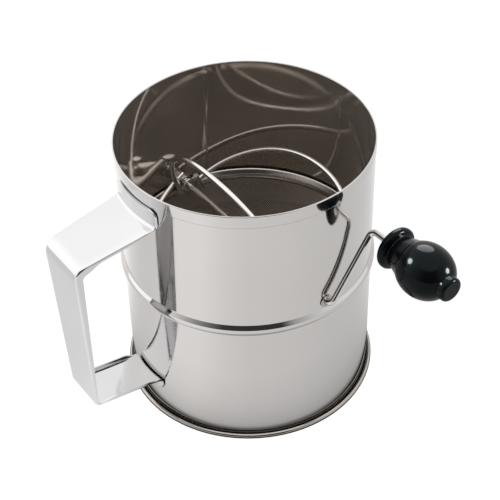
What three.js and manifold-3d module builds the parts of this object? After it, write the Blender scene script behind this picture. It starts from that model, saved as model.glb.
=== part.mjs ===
// Hand-cranked flour sifter: a stainless cylinder with a bowl-shaped mesh at mid height, four bent
// wires that a side crank sweeps over the mesh, and a strap handle a quarter turn round from the crank.
// Millimetres, +Z up. The origin is the centre of the base, the crank's shaft lies along +X and the
// handle stands out on -Y.

import * as THREE from 'three';
import { mergeVertices } from 'three/addons/utils/BufferGeometryUtils.js';
import Module from 'manifold-3d';

const wasm = await Module();
wasm.setup();

// ---- Driving dimensions -------------------------------------------------------------------------

const GAP = 0.3; // clearance between pieces that touch
const ROUND = 48; // facets round the large turned pieces
const SMALL_ROUND = 16; // facets round washers, collars and eyelets

const SHELL_R = 80; // outside of the cylinder
const SHELL_HEIGHT = 184.6;
const SHEET = 0.6; // sheet thickness
const SHELL_INNER_R = SHELL_R - SHEET;

const HEM_HEIGHT = 8.6; // folded top hem
const HEM_PROUD = 0.4;

const BEAD_Z = 95.5; // rolled bead that holds the screen ring
const BEAD_HALF_WIDTH = 4.5;
const BEAD_PROUD = 2.2;

const CURL_R = 2.1; // curled base edge
const CURL_FLAT_ANGLE = 20 * THREE.MathUtils.DEG2RAD; // half angle of the flat under the curl
const BASE_WIRE_R = 1.2;

const AXIS_Z = 104.3; // shaft axis
const WIRE_R = 2; // crank wire
const BORE_R = 2.1; // eyelet and knob bores, running on the crank wire

const ARM_ELBOW_X = 84.9; // the crank's arm leans in a little from its elbow to its corner
const ARM_CORNER_X = 82.5;
const ARM_REACH_Y = 32.9;
const ARM_REACH_Z = 40.5;
const BEND_R = 3.9;
const SHAFT_END_X = -85.2;
const SPINDLE_END_X = 145.4;

const BOW_WIRE_R = 1.9;
const BOW_HALF_LENGTH = 67.7; // along the shaft, to the centre of a foot
const BOW_HEIGHT = 65.8; // away from the shaft
const BOW_SQUARENESS = 0.95; // 1 is an ellipse, smaller is squarer
const BOW_OFFSET = 7.3; // each bow's plane passes beside the shaft, not through it
const BOW_STAGGER = 2.1; // the two pairs of bows are moved this much each way along the shaft
const BOW_FOOT = 3; // how far a foot runs on past the shaft
const BOW_ANGLES = [28.8, 107.7, 208.8, 287.7]; // in degrees, from +Y towards +Z

const SCREEN_THICKNESS = 0.6;
const SCREEN_HALF_LENGTH = 76.4;
const SCREEN_DEPTH = 69.6;
const SCREEN_SQUARENESS = 0.84;
const SCREEN_FLANGE_Z = 90.5; // top of the flat edge of the mesh
const SCREEN_FLANGE_R = 77.9;

const STRAP = 1; // handle sheet
const LIP_TOP = 2.4; // depths of the handle's turned edges
const LIP_GRIP_TOP = 5.4;
const LIP_GRIP_BOTTOM = 2;
const LIP_BOTTOM = 3.5;
const STRAP_CLEAR_R = SHELL_R + 0.4;
const STRAP_OUT_TOP = 133; // outer faces of the handle's grip, from the axis
const STRAP_OUT_BOTTOM = 129;
const STRAP_TOP_ROOT_Z = 163; // outer faces of its two arms, at the cylinder and at the grip
const STRAP_TOP_OUTER_Z = 154;
const STRAP_BOTTOM_ROOT_Z = 30.5;
const STRAP_BOTTOM_OUTER_Z = 37.5;
const STRAP_TOP_CORNER_R = 9.5;
const STRAP_BOTTOM_CORNER_R = 4.5;
const STRAP_HALF_WIDTH = 15.2; // at the bottom
const STRAP_GRIP_SPREAD = 3; // added by the top of the grip
const STRAP_ROOT_SPREAD = 3.4; // added again by the top root
const HANDLE_TURN = -1.4 * THREE.MathUtils.DEG2RAD; // from -Y, round Z
const WELD_TAB_TOP_Z = 174.5;
const WELD_TAB_BOTTOM_Z = 22;

const KNOB_START_X = 100; // face of the collar
const KNOB_END_X = 151.2;

// ---- Materials ----------------------------------------------------------------------------------

function steel(name, colour, roughness) {
  return new THREE.MeshStandardMaterial({ name, color: colour, roughness, metalness: 1 });
}

const polishedSteel = steel('polished_steel', 0xc9c7c4, 0.12);
const meshSteel = steel('mesh_steel', 0x8b8680, 0.4);
const wireSteel = steel('wire_steel', 0xb9b4ae, 0.2);
const blackPlastic = new THREE.MeshStandardMaterial({
  name: 'black_plastic',
  color: 0x050606,
  roughness: 0.15,
  metalness: 0,
});

const sifter = new THREE.Group();

function addPiece(name, geometry, material) {
  const mesh = new THREE.Mesh(geometry, material.clone());
  mesh.name = name;
  sifter.add(mesh);
}

// ---- Solid helpers ------------------------------------------------------------------------------

function toSolid(geometry) {
  const bare = geometry.clone();
  bare.deleteAttribute('normal');
  bare.deleteAttribute('uv');
  const merged = mergeVertices(bare, 1e-4);
  const mesh = new wasm.Mesh({
    numProp: 3,
    vertProperties: new Float32Array(merged.attributes.position.array),
    triVerts: new Uint32Array(merged.index.array),
  });
  return new wasm.Manifold(mesh);
}

function toGeometry(solid) {
  const mesh = solid.getMesh();
  const geometry = new THREE.BufferGeometry();
  geometry.setAttribute('position', new THREE.BufferAttribute(mesh.vertProperties, 3));
  geometry.setIndex(new THREE.BufferAttribute(mesh.triVerts, 1));
  geometry.computeVertexNormals();
  return geometry;
}

// A closed outline of [radius, z] points, given anticlockwise, turned about Z.
function turned(outline, segments) {
  const points = outline.map(([r, z]) => new THREE.Vector2(r, z));
  const closed = outline[0][0] === 0 ? points : [...points, points[0].clone()];
  return new THREE.LatheGeometry(closed, segments).rotateX(Math.PI / 2);
}

// The same outline turned about X instead: its second number is the place along +X.
function turnedAboutX(outline, segments) {
  return turned(outline, segments).rotateY(Math.PI / 2);
}

function ringOutline(innerR, outerR, low, high) {
  return [
    [innerR, low],
    [outerR, low],
    [outerR, high],
    [innerR, high],
  ];
}

// Points on an arc of an outline, both ends included; angles in degrees.
function arc(centreR, centreZ, radius, fromAngle, toAngle, steps) {
  return Array.from({ length: steps + 1 }, (_, i) => {
    const angle = THREE.MathUtils.degToRad(THREE.MathUtils.lerp(fromAngle, toAngle, i / steps));
    return [centreR + radius * Math.cos(angle), centreZ + radius * Math.sin(angle)];
  });
}

// Height and half length of a squarish half oval at parameter t, from its end (0) to its crown (1).
function ovalPoint(t, halfLength, height, squareness) {
  const angle = (t * Math.PI) / 2;
  return {
    along: halfLength * Math.cos(angle) ** squareness,
    out: height * Math.sin(angle) ** squareness,
  };
}

// A path through given stations, so that a sweep has its steps exactly there.
class StationPath extends THREE.Curve {
  constructor(stations) {
    super();
    this.stations = stations;
  }

  getUtoTmapping(u) {
    return u;
  }

  getPoint(t) {
    const place = t * (this.stations.length - 1);
    const i = Math.min(Math.floor(place), this.stations.length - 2);
    return this.stations[i].clone().lerp(this.stations[i + 1], place - i);
  }

  getTangent(t) {
    const last = this.stations.length - 1;
    const i = Math.round(t * last);
    const before = this.stations[Math.max(i - 1, 0)];
    const here = this.stations[i];
    const after = this.stations[Math.min(i + 1, last)];
    const tangent = here.clone().sub(before).normalize();
    return tangent.add(after.clone().sub(here).normalize()).normalize();
  }
}

function sweepWire(stations, radius, sides) {
  const section = new THREE.Shape();
  for (let i = 0; i < sides; i += 1) {
    const angle = (i / sides) * 2 * Math.PI;
    const x = radius * Math.cos(angle);
    const y = radius * Math.sin(angle);
    if (i === 0) {
      section.moveTo(x, y);
    } else {
      section.lineTo(x, y);
    }
  }
  section.closePath();
  return new THREE.ExtrudeGeometry(section, {
    steps: stations.length - 1,
    bevelEnabled: false,
    extrudePath: new StationPath(stations),
  });
}

// Stations round a bend of a wire at a corner, from the leg before it to the leg after it.
function bendStations(before, corner, after, radius, steps) {
  const legIn = corner.clone().sub(before).normalize();
  const legOut = after.clone().sub(corner).normalize();
  const turn = legIn.angleTo(legOut);
  const tangentLength = radius * Math.tan(turn / 2);
  const start = corner.clone().addScaledVector(legIn, -tangentLength);
  const inward = legOut.clone().addScaledVector(legIn, -Math.cos(turn)).normalize();
  return Array.from({ length: steps + 1 }, (_, i) => {
    const angle = (turn * i) / steps;
    return start
      .clone()
      .addScaledVector(legIn, radius * Math.sin(angle))
      .addScaledVector(inward, radius * (1 - Math.cos(angle)));
  });
}

// ---- Shell and base wire ------------------------------------------------------------------------

const curlR = SHELL_INNER_R + CURL_R;
const curlZ = CURL_R * Math.cos(CURL_FLAT_ANGLE);
const wireSpaceR = CURL_R - SHEET;

function curlArc(radius, flatAngle) {
  const left = arc(curlR, curlZ, radius, 180, 270 - flatAngle, 2);
  const right = arc(curlR, curlZ, radius, 270 + flatAngle, 480, 4);
  return [...left, ...right];
}

function shellOutline() {
  const flatAngle = THREE.MathUtils.radToDeg(CURL_FLAT_ANGLE);
  const outerBeadR = (BEAD_HALF_WIDTH ** 2 + BEAD_PROUD ** 2) / (2 * BEAD_PROUD);
  const beadCentreR = SHELL_R + BEAD_PROUD - outerBeadR;
  const innerBeadR = outerBeadR - SHEET;
  const outerSpan = THREE.MathUtils.radToDeg(Math.asin(BEAD_HALF_WIDTH / outerBeadR));
  const innerSpan = THREE.MathUtils.radToDeg(Math.acos((SHELL_INNER_R - beadCentreR) / innerBeadR));
  const hemR = SHELL_R + HEM_PROUD;
  const rimR = (hemR - SHELL_INNER_R) / 2;
  const hemLow = SHELL_HEIGHT - HEM_HEIGHT;
  return [
    ...curlArc(CURL_R, flatAngle),
    ...curlArc(wireSpaceR, flatAngle).reverse(),
    ...arc(beadCentreR, BEAD_Z, outerBeadR, -outerSpan, outerSpan, 4),
    [SHELL_R, hemLow],
    [hemR, hemLow],
    ...arc(SHELL_INNER_R + rimR, SHELL_HEIGHT - rimR, rimR, 0, 180, 3),
    ...arc(beadCentreR, BEAD_Z, innerBeadR, innerSpan, -innerSpan, 4),
  ];
}

const EYELET_HOLE_R = 3.7;

function shaftHoles() {
  const drill = new THREE.CylinderGeometry(EYELET_HOLE_R, EYELET_HOLE_R, 2 * SHELL_R + 20, SMALL_ROUND);
  return toSolid(drill.rotateZ(Math.PI / 2).translate(0, 0, AXIS_Z));
}

const shell = toSolid(turned(shellOutline(), ROUND)).subtract(shaftHoles());
addPiece('body_shell', toGeometry(shell), polishedSteel);

const baseWire = turned(arc(curlR, curlZ, BASE_WIRE_R, 0, 300, 5), ROUND);
addPiece('base_wire', baseWire, wireSteel);

// ---- Screen and its rings -----------------------------------------------------------------------

// The bowl's section from its flat edge down to the axis, moved in by an inset at every point.
function bowlSection(inset) {
  const halfLength = SCREEN_HALF_LENGTH + inset;
  const depth = SCREEN_DEPTH + inset;
  const edgeDrop = AXIS_Z - SCREEN_FLANGE_Z + SCREEN_THICKNESS - inset;
  const firstT = (Math.asin((edgeDrop / depth) ** (1 / SCREEN_SQUARENESS)) * 2) / Math.PI;
  const steps = 8;
  return Array.from({ length: steps + 1 }, (_, i) => {
    const t = THREE.MathUtils.lerp(firstT, 1, i / steps);
    const { along, out } = ovalPoint(t, halfLength, depth, SCREEN_SQUARENESS);
    return [i === steps ? 0 : along, AXIS_Z - out];
  });
}

const screenOutline = [
  ...bowlSection(SCREEN_THICKNESS).reverse(),
  [SCREEN_FLANGE_R, SCREEN_FLANGE_Z - SCREEN_THICKNESS],
  [SCREEN_FLANGE_R, SCREEN_FLANGE_Z],
  ...bowlSection(0),
];
addPiece('screen', turned(screenOutline, ROUND), meshSteel);

// The ring's band lies on the wall, its shoulder springs into the groove of the bead, and its
// rolled inner edge holds the edge of the mesh down.
const screenRingOutline = [
  [78.3, 88.2],
  [79.1, 88.2],
  [79.1, 91],
  [80.7, 93.6],
  [80.8, 96],
  [79.6, 97.4],
  [78.6, 96.9],
  [76.6, 94.4],
  [75.7, 92],
  [75.8, 91],
  [76.7, 91.4],
  [78.3, 94],
];
addPiece('screen_ring', turned(screenRingOutline, ROUND), polishedSteel);
addPiece('screen_clamp_ring', turned(ringOutline(76.6, 78, 88.4, 89.6), ROUND), wireSteel);

// ---- Crank, eyelets and what holds the shaft -----------------------------------------------------

function crankWire() {
  const shaftEnd = new THREE.Vector3(SHAFT_END_X, 0, AXIS_Z);
  const elbow = new THREE.Vector3(ARM_ELBOW_X, 0, AXIS_Z);
  const corner = new THREE.Vector3(ARM_CORNER_X, ARM_REACH_Y, AXIS_Z + ARM_REACH_Z);
  const spindleEnd = new THREE.Vector3(SPINDLE_END_X, ARM_REACH_Y, AXIS_Z + ARM_REACH_Z);
  const stations = [
    shaftEnd,
    ...bendStations(shaftEnd, elbow, corner, BEND_R, 6),
    ...bendStations(elbow, corner, spindleEnd, BEND_R, 6),
    spindleEnd,
  ];
  return sweepWire(stations, WIRE_R, 16);
}

addPiece('crank_wire', crankWire(), wireSteel);

const EYELET_FLANGE_R = 4.3;
const EYELET_OUTER_FLANGE = 0.5;
const EYELET_BOSS = 4.4; // inside the wall
const EYELET_BARREL_R = EYELET_HOLE_R - GAP;
const EYELET_INNER_X = SHELL_INNER_R - GAP;
const EYELET_OUTER_X = SHELL_R + GAP;

// An outline on the shaft, at +X for the crank's side and turned round to -X for the far side.
function onShaft(outline, side) {
  const geometry = turnedAboutX(outline, SMALL_ROUND);
  if (side < 0) {
    geometry.rotateZ(Math.PI);
  }
  return geometry.translate(0, 0, AXIS_Z);
}

// An eyelet set through the wall, with a boss inside and a thin flange outside.
const eyelet = [
  [BORE_R, EYELET_INNER_X - EYELET_BOSS],
  [EYELET_FLANGE_R, EYELET_INNER_X - EYELET_BOSS],
  [EYELET_FLANGE_R, EYELET_INNER_X],
  [EYELET_BARREL_R, EYELET_INNER_X],
  [EYELET_BARREL_R, EYELET_OUTER_X],
  [EYELET_FLANGE_R, EYELET_OUTER_X],
  [EYELET_FLANGE_R, EYELET_OUTER_X + EYELET_OUTER_FLANGE],
  [BORE_R, EYELET_OUTER_X + EYELET_OUTER_FLANGE],
];

const SLEEVE_BORE_R = WIRE_R + GAP;
const THRUST_WASHER = 1;
const THRUST_HIGH = EYELET_INNER_X - EYELET_BOSS - GAP;
const THRUST_LOW = THRUST_HIGH - THRUST_WASHER;
const thrustWasher = ringOutline(SLEEVE_BORE_R, 5, THRUST_LOW, THRUST_HIGH);

// A collar that sets the agitator's place between the eyelets. The bows' feet are welded to the
// rims of its two flanges.
const FLANGE_R = BOW_OFFSET - BOW_WIRE_R - GAP;
const FLANGE_HALF = 1.1;
const INNER_FLANGE_X = BOW_HALF_LENGTH - BOW_STAGGER;
const OUTER_FLANGE_X = BOW_HALF_LENGTH + BOW_STAGGER;
const COLLAR_R = 3.6;
const COLLAR_HIGH = THRUST_LOW - GAP;
const collar = [
  [SLEEVE_BORE_R, INNER_FLANGE_X - FLANGE_HALF],
  [FLANGE_R, INNER_FLANGE_X - FLANGE_HALF],
  [FLANGE_R, INNER_FLANGE_X + FLANGE_HALF],
  [COLLAR_R, INNER_FLANGE_X + FLANGE_HALF],
  [COLLAR_R, OUTER_FLANGE_X - FLANGE_HALF],
  [FLANGE_R, OUTER_FLANGE_X - FLANGE_HALF],
  [FLANGE_R, OUTER_FLANGE_X + FLANGE_HALF],
  [COLLAR_R, OUTER_FLANGE_X + FLANGE_HALF],
  [COLLAR_R, COLLAR_HIGH],
  [SLEEVE_BORE_R, COLLAR_HIGH],
];

for (const [place, side] of [['near', 1], ['far', -1]]) {
  addPiece(`bushing_${place}`, onShaft(eyelet, side), wireSteel);
  addPiece(`collar_${place}`, onShaft(collar, side), wireSteel);
  addPiece(`thrust_washer_${place}`, onShaft(thrustWasher, side), wireSteel);
}

const RETAINER_LOW = EYELET_OUTER_X + EYELET_OUTER_FLANGE + GAP;
const RETAINER_HIGH = RETAINER_LOW + 0.7;
const retainingWasher = ringOutline(SLEEVE_BORE_R, 4.8, RETAINER_LOW, RETAINER_HIGH);
addPiece('retaining_washer', onShaft(retainingWasher, -1), wireSteel);

// A domed push-on cap: its blind bore takes the end of the shaft.
function endCap() {
  const capLow = RETAINER_HIGH + GAP;
  const capR = 4.4;
  const wall = 1.2;
  const boreEnd = -SHAFT_END_X + GAP;
  const outline = [
    [0, boreEnd],
    [SLEEVE_BORE_R, boreEnd],
    [SLEEVE_BORE_R, capLow],
    [capR, capLow],
    [capR, boreEnd - 0.8],
    [capR * 0.86, boreEnd + wall * 0.3],
    [capR * 0.5, boreEnd + wall * 0.85],
    [0, boreEnd + wall],
  ];
  return onShaft(outline, -1);
}

addPiece('end_cap', endCap(), wireSteel);

// ---- Agitator bows ------------------------------------------------------------------------------

// One half-oval wire that arches over the shaft at an angle from +Y towards +Z. Its plane passes
// beside the shaft, and its straight feet run on past the collars they are welded to.
function bow(angle, aside, shift) {
  const quarterSteps = 11;
  const place = (along, out) => {
    return new THREE.Vector3(
      along + shift,
      out * Math.cos(angle) - aside * Math.sin(angle),
      AXIS_Z + out * Math.sin(angle) + aside * Math.cos(angle),
    );
  };
  const half = (side) => {
    const arch = Array.from({ length: quarterSteps + 1 }, (_, i) => {
      const { along, out } = ovalPoint(i / quarterSteps, BOW_HALF_LENGTH, BOW_HEIGHT, BOW_SQUARENESS);
      return place(side * (i === quarterSteps ? 0 : along), out);
    });
    return [place(side * BOW_HALF_LENGTH, -BOW_FOOT), ...arch];
  };
  return sweepWire([...half(-1), ...half(1).reverse().slice(1)], BOW_WIRE_R, 8);
}

// Opposite bows pass the shaft on opposite sides, and the second pair is the first one turned over.
BOW_ANGLES.forEach((angle, i) => {
  const flip = i % 2 === 0 ? -1 : 1;
  const geometry = bow(THREE.MathUtils.degToRad(angle), flip * BOW_OFFSET, flip * BOW_STAGGER);
  addPiece(`bow_${i + 1}`, geometry, wireSteel);
});

// ---- Handle -------------------------------------------------------------------------------------

// Lines parallel or nearly parallel to the strap's outer faces, each given by how far it lies inside
// them along the top arm, at the grip's two ends and along the bottom arm.
function evenInset(inset) {
  return { top: inset, gripTop: inset, gripBottom: inset, bottom: inset };
}

const lipEdge = { top: LIP_TOP, gripTop: LIP_GRIP_TOP, gripBottom: LIP_GRIP_BOTTOM, bottom: LIP_BOTTOM };
const insideLips = {
  top: LIP_TOP + STRAP,
  gripTop: LIP_GRIP_TOP + STRAP,
  gripBottom: LIP_GRIP_BOTTOM + STRAP,
  bottom: LIP_BOTTOM + STRAP,
};

// Corner points of such a line, as (distance out from the axis, z).
function strapCorners(inset) {
  const span = STRAP_OUT_TOP - SHELL_R;
  const topSlope = (STRAP_TOP_ROOT_Z - STRAP_TOP_OUTER_Z) / span;
  const bottomSlope = (STRAP_BOTTOM_OUTER_Z - STRAP_BOTTOM_ROOT_Z) / span;
  const gripTopOut = STRAP_OUT_TOP - inset.gripTop;
  const gripBottomOut = STRAP_OUT_BOTTOM - inset.gripBottom;
  const lean = (gripTopOut - gripBottomOut) / (STRAP_TOP_OUTER_Z - STRAP_BOTTOM_OUTER_Z);
  const gripOut = (z) => gripBottomOut + lean * (z - STRAP_BOTTOM_OUTER_Z);
  const topZ = (out) => STRAP_TOP_ROOT_Z - inset.top - topSlope * (out - SHELL_R);
  const bottomZ = (out) => STRAP_BOTTOM_ROOT_Z + inset.bottom + bottomSlope * (out - SHELL_R);
  const topOut = (gripOut(0) + lean * topZ(0)) / (1 + lean * topSlope);
  const bottomOut = (gripOut(0) + lean * bottomZ(0)) / (1 - lean * bottomSlope);
  const insideR = SHELL_R - 8;
  return [
    new THREE.Vector3(insideR, topZ(insideR), 0),
    new THREE.Vector3(topOut, topZ(topOut), 0),
    new THREE.Vector3(bottomOut, bottomZ(bottomOut), 0),
    new THREE.Vector3(insideR, bottomZ(insideR), 0),
  ];
}

// Points along such a line, with its two corners rounded.
function strapLine(inset) {
  const [start, top, bottom, end] = strapCorners(inset);
  return [
    start,
    ...bendStations(start, top, bottom, STRAP_TOP_CORNER_R - inset.top, 6),
    ...bendStations(top, bottom, end, STRAP_BOTTOM_CORNER_R - inset.gripBottom, 5),
    end,
  ];
}

// The space between two lines of the strap, as wide as the strap less a margin on each side.
function strapBand(outerInset, innerInset, sideMargin) {
  const points = [...strapLine(outerInset), ...strapLine(innerInset).reverse()];
  const outline = new THREE.Shape(points.map(({ x, y }) => new THREE.Vector2(x, y)));
  const band = new THREE.ExtrudeGeometry(outline, { depth: 1, steps: 1, bevelEnabled: false });
  const positions = band.attributes.position;
  for (let i = 0; i < positions.count; i += 1) {
    const out = positions.getX(i);
    const z = positions.getY(i);
    const side = positions.getZ(i) > 0.5 ? -1 : 1;
    positions.setXYZ(i, side * (strapHalfWidth(out, z) - sideMargin), -out, z);
  }
  return toSolid(band);
}

// The strap is narrow at the bottom and widens up the grip and again towards the top root.
function strapHalfWidth(out, z) {
  const rise = (z - STRAP_BOTTOM_OUTER_Z) / (STRAP_TOP_OUTER_Z - STRAP_BOTTOM_OUTER_Z);
  const inward = (STRAP_OUT_TOP - out) / (STRAP_OUT_TOP - SHELL_R);
  const climb = THREE.MathUtils.clamp(rise, 0, 1);
  const topShare = THREE.MathUtils.clamp(climb * 4 - 3, 0, 1);
  return STRAP_HALF_WIDTH + STRAP_GRIP_SPREAD * climb + STRAP_ROOT_SPREAD * topShare * inward;
}

// A tab that lies on the cylinder, for the spot welds.
function weldTab(lowZ, highZ, halfWidth) {
  const outline = ringOutline(STRAP_CLEAR_R, STRAP_CLEAR_R + STRAP, lowZ, highZ);
  const ring = toSolid(turned(outline, ROUND));
  const window = new THREE.BoxGeometry(2 * halfWidth, SHELL_R, SHELL_HEIGHT);
  return ring.intersect(toSolid(window.translate(0, -SHELL_R, SHELL_HEIGHT / 2)));
}

function handle() {
  const hollow = strapBand(evenInset(STRAP), insideLips, STRAP);
  const channel = strapBand(evenInset(0), lipEdge, 0).subtract(hollow);
  const clearance = new THREE.CylinderGeometry(STRAP_CLEAR_R, STRAP_CLEAR_R, 3 * SHELL_R, ROUND);
  const strap = channel.subtract(toSolid(clearance.rotateX(Math.PI / 2).translate(0, 0, SHELL_R)));
  const topHalfWidth = STRAP_HALF_WIDTH + STRAP_GRIP_SPREAD + STRAP_ROOT_SPREAD;
  const topTab = weldTab(STRAP_TOP_ROOT_Z - STRAP, WELD_TAB_TOP_Z, topHalfWidth);
  const bottomTab = weldTab(WELD_TAB_BOTTOM_Z, STRAP_BOTTOM_ROOT_Z + STRAP, STRAP_HALF_WIDTH);
  return strap.add(topTab).add(bottomTab);
}

addPiece('handle', toGeometry(handle()).rotateZ(HANDLE_TURN), polishedSteel);

// ---- Knob ---------------------------------------------------------------------------------------

const KNOB_MOUTH_R = 4.6; // counterbore in the knob's end
const KNOB_MOUTH_X = 143;

// A turned knob: a rounded collar, a waist, an egg-shaped grip and a short boss at the tip.
function knobOutline() {
  const eggCentreX = 129;
  const eggHalf = 18.6;
  const eggR = 17;
  const egg = Array.from({ length: 9 }, (_, i) => {
    const angle = THREE.MathUtils.degToRad(THREE.MathUtils.lerp(-44, 65.5, i / 8));
    return [eggR * Math.cos(angle) ** 0.9, eggCentreX + eggHalf * Math.sin(angle)];
  });
  return [
    [BORE_R, KNOB_START_X],
    [10.6, KNOB_START_X],
    [12.7, KNOB_START_X + 0.9],
    [13.6, KNOB_START_X + 2.6],
    [13.5, KNOB_START_X + 4.3],
    [12.3, KNOB_START_X + 5.8],
    [10.4, KNOB_START_X + 6.7],
    [10.2, KNOB_START_X + 7.6],
    ...egg,
    [7.8, KNOB_END_X - 3.4],
    [7.6, KNOB_END_X - 1.4],
    [6.4, KNOB_END_X - 0.3],
    [KNOB_MOUTH_R, KNOB_END_X],
    [KNOB_MOUTH_R, KNOB_MOUTH_X],
    [BORE_R, KNOB_MOUTH_X],
  ];
}

function onSpindle(outline, segments) {
  return turnedAboutX(outline, segments).translate(0, ARM_REACH_Y, AXIS_Z + ARM_REACH_Z);
}

addPiece('knob', onSpindle(knobOutline(), 24), blackPlastic);

const knobWasher = ringOutline(SLEEVE_BORE_R, 5.5, KNOB_START_X - GAP - 0.8, KNOB_START_X - GAP);
addPiece('knob_washer', onSpindle(knobWasher, SMALL_ROUND), wireSteel);

const knobRetainer = ringOutline(SLEEVE_BORE_R, KNOB_MOUTH_R - GAP, KNOB_MOUTH_X + GAP, KNOB_MOUTH_X + 1.5);
addPiece('knob_retainer', onSpindle(knobRetainer, SMALL_ROUND), wireSteel);

const plugR = KNOB_MOUTH_R - GAP;
const knobPlug = [
  [0, KNOB_END_X - 3.5],
  [plugR, KNOB_END_X - 3.5],
  [plugR, KNOB_END_X - 0.3],
  [plugR * 0.6, KNOB_END_X - 0.1],
  [0, KNOB_END_X],
];
addPiece('knob_end_plug', onSpindle(knobPlug, SMALL_ROUND), blackPlastic);

export default sifter;
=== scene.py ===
"""Looks of the hand-cranked flour sifter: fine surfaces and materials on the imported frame."""

import bisect
import math

import bmesh
import bpy
from mathutils import Matrix, Vector


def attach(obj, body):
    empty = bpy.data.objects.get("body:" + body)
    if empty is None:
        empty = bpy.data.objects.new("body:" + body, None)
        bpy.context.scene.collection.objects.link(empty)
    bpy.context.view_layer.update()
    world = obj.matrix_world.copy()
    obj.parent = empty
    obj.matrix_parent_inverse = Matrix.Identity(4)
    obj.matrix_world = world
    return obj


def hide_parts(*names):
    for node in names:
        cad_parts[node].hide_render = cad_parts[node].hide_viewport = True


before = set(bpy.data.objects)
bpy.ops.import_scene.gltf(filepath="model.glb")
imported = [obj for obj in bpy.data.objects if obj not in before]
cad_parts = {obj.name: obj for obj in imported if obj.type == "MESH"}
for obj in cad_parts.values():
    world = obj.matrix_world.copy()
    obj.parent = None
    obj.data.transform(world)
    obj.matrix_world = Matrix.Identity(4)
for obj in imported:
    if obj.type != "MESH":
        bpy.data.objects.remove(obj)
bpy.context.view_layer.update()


# ---- Driving dimensions --------------------------------------------------------------------------
# Lengths are in millimetres and become metres when a mesh is made. +Z is up, the crank's shaft lies
# along +X and the handle stands out on -Y.

MM = 0.001
BODY, AGITATOR, GRIP = "sifter_body", "agitator", "knob_grip"

GAP = 0.3  # kept between pieces that touch in the real thing

SHELL_R = 80.0
SHEET = 0.6
INNER_R = SHELL_R - SHEET
SHELL_HEIGHT = 184.5
HEM_LOW = 176.0  # lower edge of the folded top hem
HEM_R = 80.4
BEAD_Z = 95.5

AXIS_Z = 104.3  # height of the shaft
WIRE_R = 2.0
ELBOW_X, CORNER_X = 84.9, 82.5  # the crank arm leans in a little
REACH_Y, REACH_Z = 32.9, 40.5  # from the shaft to the knob's spindle
BEND_R = 3.9
SHAFT_END_X, SPINDLE_END_X = -85.2, 145.4
KNOB_X, KNOB_END_X = 100.0, 151.2

BOW_R = 1.9
BOW_HALF, BOW_HEIGHT = 67.7, 65.8  # along the shaft to a foot, and out to the crown
BOW_SQUARENESS = 0.95  # 1 is an ellipse, smaller is squarer
BOW_OFFSET = 7.3  # each bow passes beside the shaft
BOW_STAGGER = 2.1  # the two pairs of bows are moved this much each way along the shaft
BOW_FOOT = 3.0  # how far a foot runs on past the shaft
BOW_ANGLES = (28.8, 107.7, 208.8, 287.7)


# ---- Shader helpers ------------------------------------------------------------------------------

# Noise seldom leaves this range, so it is what a range of roughness is spread over.
NOISE_LOW, NOISE_HIGH = 0.3, 0.7
BUMP_DEPTH = 0.0002  # metres


def principled(name):
    material = bpy.data.materials.new(name)
    material.use_nodes = True
    tree = material.node_tree
    return material, tree, tree.nodes["Principled BSDF"]


def noise(tree, scale, detail, stretch=(1, 1, 1)):
    """Noise over the object's own coordinates, finer along the axes with a larger stretch."""
    coords = tree.nodes.new("ShaderNodeTexCoord")
    mapping = tree.nodes.new("ShaderNodeMapping")
    mapping.inputs["Scale"].default_value = stretch
    texture = tree.nodes.new("ShaderNodeTexNoise")
    texture.inputs["Scale"].default_value = scale
    texture.inputs["Detail"].default_value = detail
    tree.links.new(coords.outputs["Object"], mapping.inputs["Vector"])
    tree.links.new(mapping.outputs["Vector"], texture.inputs["Vector"])
    return texture.outputs["Fac"]


def ranged(tree, value, low, high):
    node = tree.nodes.new("ShaderNodeMapRange")
    node.inputs["From Min"].default_value = NOISE_LOW
    node.inputs["From Max"].default_value = NOISE_HIGH
    node.inputs["To Min"].default_value = low
    node.inputs["To Max"].default_value = high
    tree.links.new(value, node.inputs["Value"])
    return node.outputs["Result"]


def bumped(tree, shader, height, strength):
    bump = tree.nodes.new("ShaderNodeBump")
    bump.inputs["Strength"].default_value = strength
    bump.inputs["Distance"].default_value = BUMP_DEPTH
    tree.links.new(height, bump.inputs["Height"])
    tree.links.new(bump.outputs["Normal"], shader.inputs["Normal"])


def mixed_colour(tree, shader, value, first, second):
    mix = tree.nodes.new("ShaderNodeMix")
    mix.data_type = "RGBA"
    mix.inputs["A"].default_value = (*first, 1)
    mix.inputs["B"].default_value = (*second, 1)
    tree.links.new(value, mix.inputs["Factor"])
    tree.links.new(mix.outputs["Result"], shader.inputs["Base Color"])


def ramp(tree, value, stops):
    """Grey levels at given places between 0 and 1, joined by straight slopes."""
    node = tree.nodes.new("ShaderNodeValToRGB")
    elements = node.color_ramp.elements
    while len(elements) < len(stops):
        elements.new(0.5)
    for element, (position, level) in zip(elements, stops):
        element.position = position
        element.color = (level, level, level, 1)
    tree.links.new(value, node.inputs["Fac"])
    return node.outputs["Color"]


def maths(tree, operation, first, second):
    """The result of one operation on two values, each a number or a socket."""
    node = tree.nodes.new("ShaderNodeMath")
    node.operation = operation
    for socket, value in zip(node.inputs, (first, second)):
        if isinstance(value, (int, float)):
            socket.default_value = value
        else:
            tree.links.new(value, socket)
    return node.outputs["Value"]


def vector_maths(tree, operation, vector, output="Vector"):
    node = tree.nodes.new("ShaderNodeVectorMath")
    node.operation = operation
    tree.links.new(vector, node.inputs[0])
    return node.outputs[output]


def dotted(tree, vector, way):
    product = vector_maths(tree, "DOT_PRODUCT", vector, "Value")
    product.node.inputs[1].default_value = way
    return product


# ---- Materials -----------------------------------------------------------------------------------


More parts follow.
